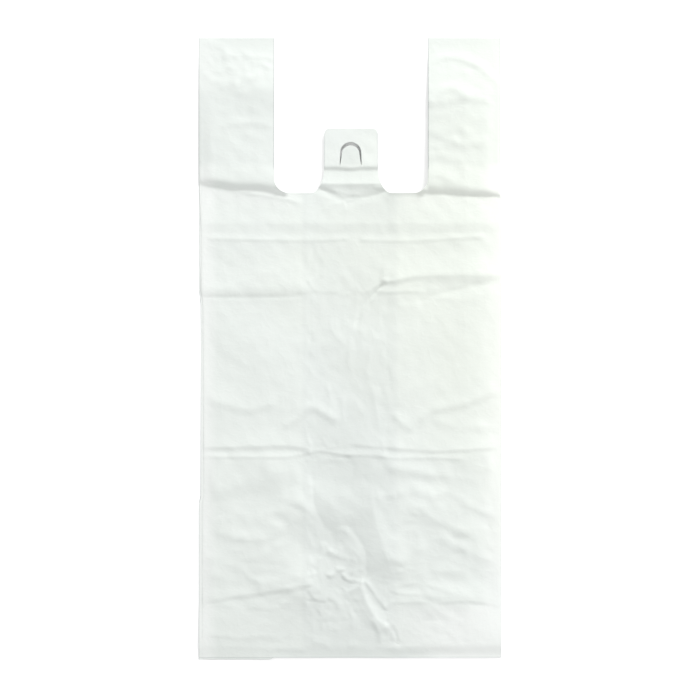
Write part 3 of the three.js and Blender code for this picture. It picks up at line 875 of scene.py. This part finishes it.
    def build(self) -> bpy.types.Object:
        """Folds a flat grid of film into the tube and closes it at the back's left edge.

        Returns:
            The tube, as an open-ended single surface.
        """
        points, columns, rows = self.places()
        sheet = bmesh.new()
        bmesh.ops.create_grid(sheet, x_segments=columns - 1, y_segments=rows - 1, size=1.0)
        seam = []
        for vertex in sheet.verts:
            column = round((vertex.co.x + 1) / 2 * (columns - 1))
            row = round((vertex.co.y + 1) / 2 * (rows - 1))
            vertex.co = points[column, row]
            if column in (0, columns - 1):
                seam.append(vertex)
        bmesh.ops.remove_doubles(sheet, verts=seam, dist=self.film * MM / 4)
        bmesh.ops.recalc_face_normals(sheet, faces=sheet.faces)
        return finished(sheet, "film_tube")


@dataclass
class VestCut:
    """What the vest cut takes away above the mouth, in millimetres."""

    length: float
    left_handle: float = -75.2
    right_handle: float = 77.4
    handle_length: float = 154.0
    corner: float = 15.0
    tab_middle: float = 1.0
    tab_width: float = 53.0
    tab_height: float = 64.0
    tab_corner: float = 5.0
    flare_width: float = 14.0
    flare_height: float = 26.0
    overrun: float = 8.0
    arc_steps: int = 10

    def arc(self, centre: Point, radii: Point, start: float, end: float) -> list[Point]:
        """Points of an elliptical arc.

        Args:
            centre: The ellipse's middle.
            radii: Its two half axes.
            start: The angle of the first point, in degrees.
            end: The angle of the last point, in degrees.

        Returns:
            The arc's points.
        """
        angles = np.radians(np.linspace(start, end, self.arc_steps + 1))
        return [(centre[0] + radii[0] * math.cos(a), centre[1] + radii[1] * math.sin(a)) for a in angles]

    def outline(self) -> list[Point]:
        """The cut's outline, from the left handle's top round the tab to the right handle's top."""
        mouth = self.length - self.handle_length
        top = self.length + self.overrun
        left_tab = self.tab_middle - self.tab_width / 2
        right_tab = self.tab_middle + self.tab_width / 2
        tab_top = mouth + self.tab_height
        flare = (self.flare_width, self.flare_height)
        flare_level = mouth + self.flare_height
        round_corner = (self.corner, self.corner)
        tab_corner = (self.tab_corner, self.tab_corner)
        level = tab_top - self.tab_corner
        points = [(self.left_handle, top)]
        points += self.arc((self.left_handle + self.corner, mouth + self.corner), round_corner, 180, 270)
        points += self.arc((left_tab - self.flare_width, flare_level), flare, -90, 0)
        points += self.arc((left_tab + self.tab_corner, level), tab_corner, 180, 90)
        points += self.arc((right_tab - self.tab_corner, level), tab_corner, 90, 0)
        points += self.arc((right_tab + self.flare_width, flare_level), flare, 180, 270)
        points += self.arc((self.right_handle - self.corner, mouth + self.corner), round_corner, -90, 0)
        points.append((self.right_handle, top))
        return points

    def cutter(self) -> bpy.types.Object:
        """A prism over the outline, which goes through all layers."""
        return prism(self.outline(), self.length, "vest_cutter")

    def area(self, inner_fold: float) -> float:
        """Area of film that the cut takes away, over all layers.

        Args:
            inner_fold: Where the gussets end, across from the middle.

        Returns:
            The area in square millimetres.
        """
        points = np.array(self.outline())
        points[:, 1] = np.minimum(points[:, 1], self.length)
        x, y = points[:, 0], points[:, 1]
        plan = abs(np.dot(x, np.roll(y, -1)) - np.dot(y, np.roll(x, -1))) / 2
        over_gussets = (self.right_handle - self.left_handle - 2 * inner_fold) * self.handle_length
        return 2 * plan + 2 * over_gussets


@dataclass
class Slit:
    """The arch-shaped knife slit of the tab, in millimetres."""

    length: float
    middle: float = 0.7
    crown: float = 512.5
    height: float = 22.5
    arch_width: float = 21.0
    foot_width: float = 21.6
    opening: float = 3.3
    foot_opening: float = 0.55
    steps: int = 16

    def outline(self) -> list[Point]:
        """The slit's outline: the outer arch, and the tongue's edge inside it."""
        radius = self.arch_width / 2
        inner_radius = radius - (self.opening + self.foot_opening) / 2
        foot = self.crown - self.height
        outer = [(-self.foot_width / 2, foot)]
        inner = [(self.foot_width / 2 - self.foot_opening, foot)]
        for angle in np.linspace(math.pi, 0, self.steps + 1):
            outer.append((radius * math.cos(angle), self.crown - radius + radius * math.sin(angle)))
        outer.append((self.foot_width / 2, foot))
        inner_level = self.crown - self.opening - inner_radius
        for angle in np.linspace(0, math.pi, self.steps + 1):
            inner.append((inner_radius * math.cos(angle), inner_level + inner_radius * math.sin(angle)))
        inner.append((-self.foot_width / 2 + self.foot_opening, foot))
        return [(x + self.middle, y) for x, y in outer + inner]

    def cutter(self) -> bpy.types.Object:
        """A prism over the outline, which goes through all layers."""
        return prism(self.outline(), self.length, "slit_cutter")


def prism(outline: list[Point], length: float, name: str, reach: float = 20.0) -> bpy.types.Object:
    """Raises an outline in the bag's plan to a prism through its whole thickness.

    Args:
        outline: The outline's points, across and along, in millimetres.
        length: The bag's length.
        name: The prism's name.
        reach: How far it goes below and above the surface that the bag lies on.

    Returns:
        The prism.
    """
    shape = bmesh.new()
    rim = [shape.verts.new((x * MM, (y - length / 2) * MM, -reach * MM)) for x, y in outline]
    face = shape.faces.new(rim)
    raised = bmesh.ops.extrude_face_region(shape, geom=[face])
    top = [item for item in raised["geom"] if isinstance(item, bmesh.types.BMVert)]
    bmesh.ops.translate(shape, verts=top, vec=(0, 0, 2 * reach * MM))
    bmesh.ops.recalc_face_normals(shape, faces=shape.faces)
    return finished(shape, name)


def finished(shape: bmesh.types.BMesh, name: str) -> bpy.types.Object:
    """Turns a bmesh into an object of the scene and frees it.

    Args:
        shape: The bmesh.
        name: The object's name.

    Returns:
        The object, at the origin.
    """
    mesh = bpy.data.meshes.new(name)
    shape.to_mesh(mesh)
    shape.free()
    piece = bpy.data.objects.new(name, mesh)
    bpy.context.scene.collection.objects.link(piece)
    return piece


def baked(piece: bpy.types.Object, name: str) -> bpy.types.Object:
    """Replaces a piece with its mesh as its modifiers leave it.

    Args:
        piece: The piece with live modifiers.
        name: The new piece's name.

    Returns:
        The new piece.
    """
    graph = bpy.context.evaluated_depsgraph_get()
    mesh = bpy.data.meshes.new_from_object(piece.evaluated_get(graph))
    mesh.name = name
    made = bpy.data.objects.new(name, mesh)
    bpy.context.scene.collection.objects.link(made)
    bpy.data.objects.remove(piece)
    return made


@dataclass
class CarrierBag:
    """The whole bag: the folded tube with its thickness, cut to the vest outline."""

    tube: FilmTube
    vest: VestCut
    slit: Slit
    sharp_angle: float = 40.0

    def build(self) -> bpy.types.Object:
        """Makes the film, gives it its thickness and cuts it.

        Returns:
            The bag as one closed piece.
        """
        film = self.tube.build()
        wall = film.modifiers.new("thickness", "SOLIDIFY")
        wall.thickness = self.tube.film * MM
        wall.offset = 0.0
        cutters = [self.vest.cutter(), self.slit.cutter()]
        for cutter in cutters:
            cut = film.modifiers.new(cutter.name, "BOOLEAN")
            cut.operation = "DIFFERENCE"
            cut.solver = "MANIFOLD"
            cut.object = cutter
        bag = baked(film, "carrier_bag")
        for cutter in cutters:
            bpy.data.objects.remove(cutter)
        self.shade(bag)
        return bag

    def shade(self, bag: bpy.types.Object) -> None:
        """Shades the film smooth, with keen lines at its cut edges."""
        shape = bmesh.new()
        shape.from_mesh(bag.data)
        for face in shape.faces:
            face.smooth = True
        for edge in shape.edges:
            edge.smooth = edge.calc_face_angle(math.pi) < math.radians(self.sharp_angle)
        shape.to_mesh(bag.data)
        shape.free()

    def flat_area(self) -> float:
        """Area of the film when it is laid out, in square metres."""
        whole = self.tube.flat_width() * self.tube.length
        return (whole - self.vest.area(self.tube.inner_fold)) * MM * MM


class Blend(Enum):
    """How a tint comes over the colour below it."""

    MIX = "MIX"
    MULTIPLY = "MULTIPLY"


class Socket:
    """A shader value whose operators add Math nodes."""

    def __init__(self, graph: Graph, link: bpy.types.NodeSocket) -> None:
        """Wraps an output socket."""
        self.graph = graph
        self.link = link

    def _math(self, operation: str, *values: object) -> Socket:
        """Adds a Math node on the given values."""
        return self.graph.value("ShaderNodeMath", {"operation": operation}, dict(enumerate(values)))

    def __add__(self, other: object) -> Socket:
        """self + other."""
        return self._math("ADD", self, other)

    __radd__ = __add__

    def __sub__(self, other: object) -> Socket:
        """self - other."""
        return self._math("SUBTRACT", self, other)

    def __rsub__(self, other: object) -> Socket:
        """other - self."""
        return self._math("SUBTRACT", other, self)

    def __mul__(self, other: object) -> Socket:
        """self * other."""
        return self._math("MULTIPLY", self, other)

    __rmul__ = __mul__

    def __truediv__(self, other: object) -> Socket:
        """self / other."""
        return self._math("DIVIDE", self, other)

    def __pow__(self, other: object) -> Socket:
        """self to the power of other."""
        return self._math("POWER", self, other)

    def __abs__(self) -> Socket:
        """The value without its sign."""
        return self._math("ABSOLUTE", self)

    def clamped(self) -> Socket:
        """The value held between 0 and 1."""
        return self.graph.value("ShaderNodeClamp", {}, {0: self})


class Graph:
    """The node tree of a material or a world, built by expressions."""

    def __init__(self, owner: bpy.types.Material | bpy.types.World) -> None:
        """Starts an empty tree.

        Args:
            owner: The material or the world.
        """
        self.owner = owner
        owner.use_nodes = True
        self.tree = owner.node_tree
        self.tree.nodes.clear()

    def node(self, kind: str, settings: dict[str, object], inputs: dict[object, object]) -> bpy.types.Node:
        """Adds a node.

        Args:
            kind: The node's type.
            settings: Its settings, which are set first.
            inputs: The values or links of its sockets, by name or index.

        Returns:
            The node.
        """
        made = self.tree.nodes.new(kind)
        for name, value in settings.items():
            setattr(made, name, value)
        for key, value in inputs.items():
            socket = made.inputs[key]
            if isinstance(value, Socket):
                self.tree.links.new(value.link, socket)
            elif isinstance(value, bpy.types.NodeSocket):
                self.tree.links.new(value, socket)
            else:
                socket.default_value = value
        return made

    def value(
        self, kind: str, settings: dict[str, object], inputs: dict[object, object], output: object = 0
    ) -> Socket:
        """Adds a node and wraps one of its outputs."""
        return Socket(self, self.node(kind, settings, inputs).outputs[output])

    def mix(self, share: Socket, below: Socket | Colour, tint: Colour, blend: Blend) -> Socket:
        """Puts a tint over a colour.

        Args:
            share: How much of the tint is taken.
            below: The colour below it.
            tint: The tint.
            blend: How the tint comes over the colour.

        Returns:
            The new colour.
        """
        settings = {"data_type": "RGBA", "blend_type": blend.value}
        made = self.node("ShaderNodeMix", settings, {0: share, 6: below, 7: tint})
        return Socket(self, made.outputs[2])

    def plan(self) -> tuple[Socket, Socket]:
        """The object's own coordinates across and along."""
        place = self.value("ShaderNodeTexCoord", {}, {}, "Object")
        parts = self.node("ShaderNodeSeparateXYZ", {}, {0: place})
        return Socket(self, parts.outputs[0]), Socket(self, parts.outputs[1])

    def noise(self, scale: float, detail: float, stretch: tuple[float, float, float] = (1, 1, 1)) -> Socket:
        """Fractal noise on the object's coordinates.

        Args:
            scale: Waves to a metre.
            detail: Octaves.
            stretch: Scale along each axis.

        Returns:
            The noise, about 0 in the mean.
        """
        place = self.value("ShaderNodeTexCoord", {}, {}, "Object")
        turned = self.value("ShaderNodeMapping", {}, {"Vector": place, "Scale": stretch})
        inputs = {"Vector": turned, "Scale": scale, "Detail": detail, "Roughness": NOISE_ROUGHNESS}
        return self.value("ShaderNodeTexNoise", {}, inputs) - 0.5

    def seen(self) -> Socket:
        """1 for what the camera sees, straight, mirrored or through film, and 0 for what only gives light."""
        path = self.node("ShaderNodeLightPath", {}, {})
        kinds = ("Is Camera Ray", "Is Glossy Ray", "Is Transmission Ray")
        straight, mirrored, through = (Socket(self, path.outputs[kind]) for kind in kinds)
        return (straight + mirrored + through).clamped()


@dataclass(frozen=True)
class Ramp:
    """A share that rises from 0 at a start to 1 a run further, or the other way where the run is negative."""

    start: float
    run: float

    def at(self, place: Socket) -> Socket:
        """The share at a place."""
        return ((place - self.start) / self.run).clamped()


@dataclass(frozen=True)
class Zone:
    """A region of the bag's plan, as a product of ramps, in metres from the bag's middle.

    Each ramp of `across` and `along` runs that way, and those of `outward` run to both sides of a line
    along the bag that lies at `middle`.
    """

    across: tuple[Ramp, ...] = ()
    outward: tuple[Ramp, ...] = ()
    along: tuple[Ramp, ...] = ()
    middle: float = 0.0
    share: float = 1.0

    def at(self, across: Socket, along: Socket) -> Socket:
        """How much of the region's share holds at a place.

        Args:
            across: The place across the bag.
            along: The place along the bag.

        Returns:
            From 0 outside the region to its share inside it.
        """
        shares = [ramp.at(across) for ramp in self.across]
        shares += [ramp.at(abs(across - self.middle)) for ramp in self.outward]
        shares += [ramp.at(along) for ramp in self.along]
        return math.prod(shares, start=self.share)


@dataclass(frozen=True)
class PaintedEdgeShade:
    """The thin grey line along the film's folded sides and cut edges, in metres: painted shade where the film
    turns down there.
    """

    line: float = 0.0007
    blend: float = 0.0003
    half_width: float = 0.150
    left_inset: Zone = Zone(along=(Ramp(-0.153, 0.006), Ramp(0.058, -0.012)), share=0.0018)
    right_inset: Zone = Zone(along=(Ramp(0.147, 0.020),), share=0.0011)
    right_share: float = 0.6
    left_handle: float = -0.0752
    right_handle: float = 0.0774
    above_mouth: Zone = Zone(along=(Ramp(0.176, 0.004),))
    tab_middle: float = 0.001
    tab_half: float = 0.0265
    tab_line: float = 0.00056
    tab_sides: Zone = Zone(along=(Ramp(0.176, 0.004), Ramp(0.216, -0.004)))
    bottom: float = -0.306
    bottom_share: float = 0.7

    def stroke(self, away: Socket, half: float) -> Socket:
        """A narrow line.

        Args:
            away: The signed distance from its middle.
            half: Half its width.

        Returns:
            1 on the line and 0 beside it.
        """
        return ((half - abs(away)) / self.blend + 0.5).clamped()

    def at(self, across: Socket, along: Socket) -> Socket:
        """The line's share at a place.

        Args:
            across: The place across the bag.
            along: The place along the bag.

        Returns:
            The share, from 0 to 1.
        """
        left = across + self.half_width - self.left_inset.at(across, along)
        right = across - self.half_width + self.right_inset.at(across, along)
        sides = self.stroke(left, self.line) + self.stroke(right, self.line) * self.right_share
        inner = self.stroke(across - self.left_handle, self.line)
        inner = inner + self.stroke(across - self.right_handle, self.line)
        inner = inner * self.above_mouth.at(across, along)
        tab = self.stroke(abs(across - self.tab_middle) - self.tab_half, self.tab_line)
        tab = tab * self.tab_sides.at(across, along)
        bottom = self.stroke(along - self.bottom, self.line) * self.bottom_share
        return (sides + inner + tab + bottom).clamped()


@dataclass(frozen=True)
class Relief:
    """Fine ridges of the film's face.

    `scale` is in waves to a metre, `height` in metres, and a higher `power` makes the ridges keener.
    """

    scale: float
    height: float
    power: float
    detail: float = 2.0
    stretch: tuple[float, float, float] = (1.0, 1.0, 1.0)

    def at(self, graph: Graph) -> Socket:
        """The ridges' height, highest where the noise crosses its mean."""
        ridge = 1 - abs(graph.noise(self.scale, self.detail, self.stretch)) * 2.0
        return ridge**self.power * self.height


@dataclass(frozen=True)
class FilmFinish:
    """White polyethylene film with a satin face.

    The film looks thinner over the middle, where two layers lie instead of four. Painted shade makes it
    greyer low in the middle, on the handles' lower parts, along the weld and on the tongue, and painted
    light makes it paler beside the side folds, below the mouth, on the tab and by the weld at the right.
    A painted shade line runs along its folded sides and cut edges.
    """

    white: Colour = (0.848, 0.892, 0.858, 1.0)
    thin: Colour = (0.810, 0.853, 0.826, 1.0)
    # Painted shade: the grey for the low middle, the handles' lower parts, the weld and the tongue.
    grey: Colour = (0.785, 0.828, 0.800, 1.0)
    # Painted light: the pale for the side folds, below the mouth, the weld at the right and the tab.
    pale: Colour = (0.930, 0.960, 0.935, 1.0)
    warm: Colour = (1.0, 1.0, 0.965, 1.0)
    # Painted shade: the grey of the line along the edges.
    edge: Colour = (0.76, 0.77, 0.78, 1.0)
    two_layers: Zone = Zone(outward=(Ramp(0.049, -0.004),), share=0.75)
    thin_cloud: float = 0.5
    # Painted shade low in the middle, where the film turns away from the light.
    hollow_middle: Point = (0.002, -0.150)
    hollow_reach: Point = (0.040, 0.105)
    hollow_extent: float = 1.25
    hollow_cloud: float = 0.8
    # Painted light beside the side folds, halved from the mouth up.
    right_rim: Zone = Zone(across=(Ramp(0.124, 0.022),), share=0.95)
    left_rim: Zone = Zone(across=(Ramp(-0.131, -0.011),), share=0.95)
    rim_loss: Zone = Zone(along=(Ramp(0.165, 0.020),), share=0.5)
    # Painted light below the mouth.
    lip: Zone = Zone(
        outward=(Ramp(0.045, 0.010),), along=(Ramp(0.160, -0.003), Ramp(0.135, 0.015)), share=0.4
    )
    # Painted light by the weld at the right.
    corner: Zone = Zone(across=(Ramp(0.030, 0.070),), along=(Ramp(-0.250, -0.012),))
    # Painted shade on the handles' lower parts.
    grip_shade: Zone = Zone(
        outward=(Ramp(0.073, 0.002),), along=(Ramp(0.179, 0.006), Ramp(0.262, -0.012)), share=0.55
    )
    # Painted shade along the middle of the bottom weld.
    weld: Zone = Zone(outward=(Ramp(0.085, -0.035),), along=(Ramp(-0.293, -0.007),))
    # Painted light on the tab.
    tab: Zone = Zone(outward=(Ramp(0.0285, -0.004),), along=(Ramp(0.1815, 0.002),), middle=0.001, share=0.2)
    # Painted shade on the slit's tongue, which hangs back under the tab's cut edge.
    tongue: Zone = Zone(
        outward=(Ramp(0.0097, -0.001),), along=(Ramp(0.1815, 0.002), Ramp(0.2025, -0.006)), middle=0.001
    )
    warm_level: float = 0.75
    warm_across: float = 6.0
    warm_along: float = 5.0
    warm_middle: float = 0.09
    # The painted shade line along the folded sides and cut edges.
    outline: PaintedEdgeShade = PaintedEdgeShade()
    cloud_scale: float = 14.0
    cloud_detail: float = 3.0
    ripple: Relief = Relief(scale=55.0, height=0.00009, power=3.0)
    wrinkle: Relief = Relief(scale=130.0, height=0.00004, power=4.0, stretch=(0.8, 1.3, 1.0))
    streak_scale: float = 600.0
    streak_detail: float = 1.0
    streak_stretch: tuple[float, float, float] = (1.0, 0.03, 1.0)
    streak_height: float = 0.00001
    roughness: float = 0.46
    rough_spread: float = 0.12
    refraction: float = 1.5
    specular: float = 0.3

    def tints(self, across: Socket, along: Socket, cloud: Socket) -> list[tuple[Socket, Colour, Blend]]:
        """The tints that come over the white, in order.

        Args:
            across: The place across the bag.
            along: The place along the bag.
            cloud: Slow noise, about 0 in the mean.

        Returns:
            The share, the colour and the way of blending of each.
        """
        thinner = (self.two_layers.at(across, along) + cloud * self.thin_cloud).clamped()
        # Painted shade low in the middle, where the film turns away from the light.
        out_x = (across - self.hollow_middle[0]) / self.hollow_reach[0]
        out_y = (along - self.hollow_middle[1]) / self.hollow_reach[1]
        away = (out_x * out_x + out_y * out_y) ** 0.5
        hollow_shade = (self.hollow_extent - away + cloud * self.hollow_cloud).clamped()
        rims = self.right_rim.at(across, along) + self.left_rim.at(across, along)
        rims = rims * (1 - self.rim_loss.at(across, along))
        # Painted light beside the side folds, below the mouth and by the weld at the right.
        painted_light_share = (rims + self.lip.at(across, along) + self.corner.at(across, along)).clamped()
        # Painted shade on the handles' lower parts and along the weld.
        grip_weld_shade = (self.grip_shade.at(across, along) + self.weld.at(across, along)).clamped()
        fading = abs(along - self.warm_middle) * self.warm_along
        warmth = (across * self.warm_across + self.warm_level - fading + cloud).clamped()
        return [
            (thinner, self.thin, Blend.MIX),
            (hollow_shade, self.grey, Blend.MIX),
            (painted_light_share, self.pale, Blend.MIX),
            (grip_weld_shade, self.grey, Blend.MIX),
            (self.tab.at(across, along), self.pale, Blend.MIX),
            (self.tongue.at(across, along), self.grey, Blend.MIX),
            (warmth, self.warm, Blend.MULTIPLY),
            # Painted shade along the folded sides and cut edges.
            (self.outline.at(across, along), self.edge, Blend.MULTIPLY),
        ]

    def crinkle(self, graph: Graph) -> Socket:
        """The height of the finest ripples, wrinkles and drawn streaks, in metres."""
        streak = graph.noise(self.streak_scale, self.streak_detail, self.streak_stretch)
        return self.ripple.at(graph) + streak * self.streak_height + self.wrinkle.at(graph)

    def build(self) -> bpy.types.Material:
        """The film's material."""
        graph = Graph(bpy.data.materials.new("white_film"))
        across, along = graph.plan()
        cloud = graph.noise(self.cloud_scale, self.cloud_detail)
        colour = self.white
        for share, tint, blend in self.tints(across, along, cloud):
            colour = graph.mix(share, colour, tint, blend)
        bumps = {"Distance": 1.0, "Strength": 1.0, "Height": self.crinkle(graph)}
        inputs = {
            "Base Color": colour,
            "Roughness": self.roughness + cloud * self.rough_spread,
            "Normal": graph.value("ShaderNodeBump", {}, bumps),
            "IOR": self.refraction,
            "Specular IOR Level": self.specular,
        }
        face = graph.node("ShaderNodeBsdfPrincipled", {}, inputs)
        graph.node("ShaderNodeOutputMaterial", {}, {"Surface": face.outputs[0]})
        return graph.owner


@dataclass(frozen=True)
class Table:
    """The pale surface that the bag lies on, in metres."""

    half: float = 3.0
    colour: Colour = (0.93, 0.93, 0.93, 1.0)
    glow: float = 0.38
    under_tab: Zone = Zone(
        outward=(Ramp(0.016, -0.001),), along=(Ramp(0.177, 0.001), Ramp(0.209, -0.001)), middle=0.001
    )

    def build(self) -> bpy.types.Object:
        """A wide floor that the camera sees as white, with the bag's shadow kept."""
        shape = bmesh.new()
        bmesh.ops.create_grid(shape, x_segments=1, y_segments=1, size=self.half)
        floor = finished(shape, "table_top")
        floor.data.materials.append(self.finish())
        return floor

    def finish(self) -> bpy.types.Material:
        """Pale and matt, with a little glow for the camera except under the tab, where its slit shows it."""
        graph = Graph(bpy.data.materials.new("pale_table"))
        matt = graph.node("ShaderNodeBsdfDiffuse", {}, {"Color": self.colour})
        strength = graph.seen() * (1 - self.under_tab.at(*graph.plan())) * self.glow
        glow = graph.node("ShaderNodeEmission", {}, {"Color": WHITE, "Strength": strength})
        both = graph.node("ShaderNodeAddShader", {}, {0: matt.outputs[0], 1: glow.outputs[0]})
        graph.node("ShaderNodeOutputMaterial", {}, {"Surface": both.outputs[0]})
        return graph.owner


@dataclass(frozen=True)
class Lamp:
    """A soft rectangular lamp, in metres and watts."""

    name: str
    place: tuple[float, float, float]
    aim: tuple[float, float, float]
    size: tuple[float, float]
    power: float

    def build(self) -> None:
        """Hangs the lamp and points it at its aim."""
        light = bpy.data.lights.new(self.name, "AREA")
        light.shape = "RECTANGLE"
        light.size, light.size_y = self.size
        light.energy = self.power
        lamp = bpy.data.objects.new(self.name, light)
        lamp.location = self.place
        away = Vector(self.place) - Vector(self.aim)
        lamp.rotation_mode = "QUATERNION"
        lamp.rotation_quaternion = away.to_track_quat("Z", "Y")
        bpy.context.scene.collection.objects.link(lamp)


@dataclass(frozen=True)
class Studio:
    """Light, world and camera."""

    world_level: float = 0.505
    lamps: tuple[Lamp, ...] = (
        Lamp("key", (1.15, 2.18, 0.8), (0.0, 0.0, 0.0), (1.22, 0.38), 62.4),
        Lamp("right", (1.0, -0.1, 0.6), (0.0, -0.1, 0.0), (0.4, 1.4), 3.6),
        Lamp("left", (-1.0, 0.0, 0.6), (0.0, 0.0, 0.0), (0.4, 1.4), 3.2),
    )
    lens: float = 85.0
    sensor: float = 36.0
    photo_pixels: int = 700
    mm_per_pixel: float = 0.991
    middle_along: float = -0.0013

    def build(self) -> None:
        """Sets the world, hangs the lamps and places the camera."""
        scene = bpy.context.scene
        scene.view_settings.view_transform = "Standard"
        scene.world = self.world()
        for lamp in self.lamps:
            lamp.build()
        self.camera()

    def world(self) -> bpy.types.World:
        """An even sky that the camera sees as white."""
        graph = Graph(bpy.data.worlds.new("studio"))
        strength = self.world_level + graph.seen() * (1 - self.world_level)
        sky = graph.node("ShaderNodeBackground", {}, {"Color": WHITE, "Strength": strength})
        graph.node("ShaderNodeOutputWorld", {}, {"Surface": sky.outputs[0]})
        return graph.owner

    def camera(self) -> None:
        """A camera that looks straight down and frames the bag as the photograph does."""
        data = bpy.data.cameras.new("camera")
        data.lens = self.lens
        data.sensor_width = self.sensor
        width = self.photo_pixels * self.mm_per_pixel * MM
        camera = bpy.data.objects.new("camera", data)
        camera.location = (0.0, self.middle_along, width * self.lens / self.sensor)
        bpy.context.scene.collection.objects.link(camera)
        bpy.context.scene.camera = camera


def main() -> None:
    """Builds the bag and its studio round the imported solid."""
    logging.basicConfig(level=logging.INFO)
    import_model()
    low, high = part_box(NODE)
    half_width = (high.x - low.x) / 2 / MM
    length = (high.y - low.y) / MM
    tube = FilmTube(half_width, length)
    bag = CarrierBag(tube, VestCut(length), Slit(length))
    piece = bag.build()
    piece.data.materials.clear()
    piece.data.materials.append(FilmFinish().build())
    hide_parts(NODE)
    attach(piece, BODY)
    floor = Table().build()
    bag.flat_area()
    for made in (piece, floor):
        LOG.info("%s: %d faces", made.name, len(made.data.polygons))
    creases = tube.marks.all()
    LOG.info("%d creases, the highest is %s", len(creases), max(creases, key=lambda crease: crease.rise).name)
    Studio().build()


if __name__ == "__main__":
    main()
